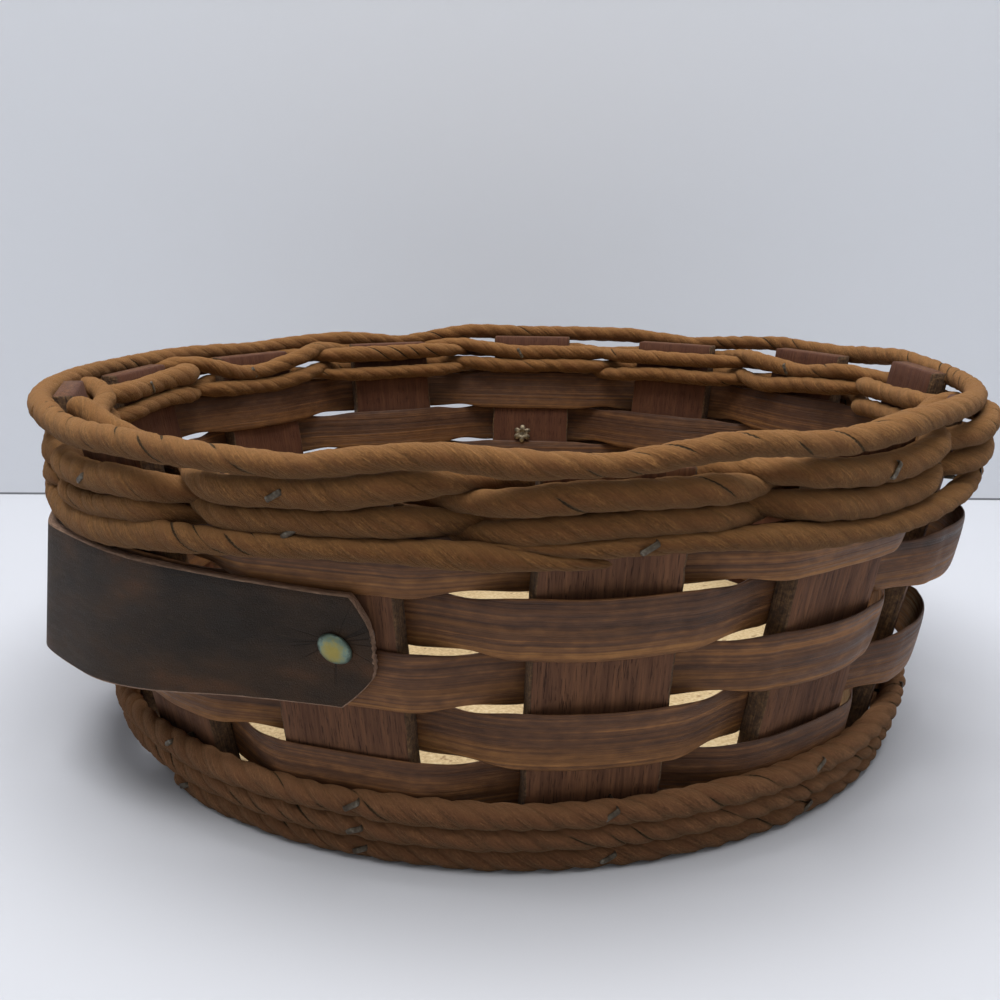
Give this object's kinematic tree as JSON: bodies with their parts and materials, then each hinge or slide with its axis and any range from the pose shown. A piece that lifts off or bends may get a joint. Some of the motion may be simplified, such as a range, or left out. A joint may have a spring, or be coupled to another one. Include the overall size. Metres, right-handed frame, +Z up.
{
  "type": "casserole basket",
  "caption": "Round basket of woven splint and twisted paper cord on flat stakes and a board, with riveted leather strap handles, for carrying a casserole dish.",
  "frame": {"origin": "centre of the board's underside, on the basket's axis", "axes": "+Z up along the basket's axis; -X towards the middle of the left handle; the right handle is a slight turn from +X towards +Y"},
  "size_m": [0.2798, 0.2798, 0.1025],
  "materials": {
    "board": "pressed board, matt, fine speckle",
    "stake": "stained thin plywood with a fine upright grain and rough dark edges, satin",
    "splint": "stained split wood, streaked along its length, satin",
    "cord": "twisted kraft paper with a slanting crease at every turn, matt",
    "leather": "dark grained leather with raw tan edges, low sheen",
    "rivet": "dull pale brass, slightly tarnished",
    "staple": "dull grey wire"
  },
  "bodies": {
    "basket": {"base_board": "board", "stake_01": "stake", "stake_02": "stake", "stake_03": "stake", "stake_04": "stake", "stake_05": "stake", "stake_06": "stake", "stake_07": "stake", "stake_08": "stake", "stake_09": "stake", "stake_10": "stake", "stake_11": "stake", "stake_12": "stake", "stake_13": "stake", "rim_staple_01": "staple", "rim_staple_02": "staple", "rim_staple_03": "staple", "rim_staple_04": "staple", "rim_staple_05": "staple", "rim_staple_06": "staple", "rim_staple_07": "staple", "rim_staple_08": "staple", "rim_staple_09": "staple", "rim_staple_10": "staple", "rim_staple_11": "staple", "rim_staple_12": "staple", "rim_staple_13": "staple", "foot_staple_01": "staple", "foot_staple_02": "staple", "foot_staple_03": "staple", "foot_staple_04": "staple", "foot_staple_05": "staple", "foot_staple_06": "staple", "foot_staple_07": "staple", "foot_staple_08": "staple", "foot_staple_09": "staple", "foot_staple_10": "staple", "foot_staple_11": "staple", "foot_staple_12": "staple", "foot_staple_13": "staple", "woven_splint": "splint", "foot_cord": "cord", "rim_woven_cord": "cord", "rim_top_cord": "cord", "rim_lower_cord": "cord", "left_strap_front_end": "leather", "left_rivet_front": "rivet", "left_strap_rear_end": "leather", "left_rivet_rear": "rivet", "right_strap_front_end": "leather", "right_rivet_front": "rivet", "right_strap_rear_end": "leather", "right_rivet_rear": "rivet"},
    "left_handle": {"left_strap_loop": "leather"},
    "right_handle": {"right_strap_loop": "leather"}
  },
  "joints": [
    {"name": "left_handle_lift", "type": "hinge", "parent": "basket", "child": "left_handle", "pos_m": [-0.11503, 0, 0.05408], "axis": [0, 1, 0], "range_deg": [-20, 12], "stiffness_Nm_per_rad": 0.08},
    {"name": "right_handle_lift", "type": "hinge", "parent": "basket", "child": "right_handle", "pos_m": [0.11169, 0.02753, 0.05408], "axis": [0.2393, -0.9709, 0], "range_deg": [-20, 12], "stiffness_Nm_per_rad": 0.08}
  ]
}
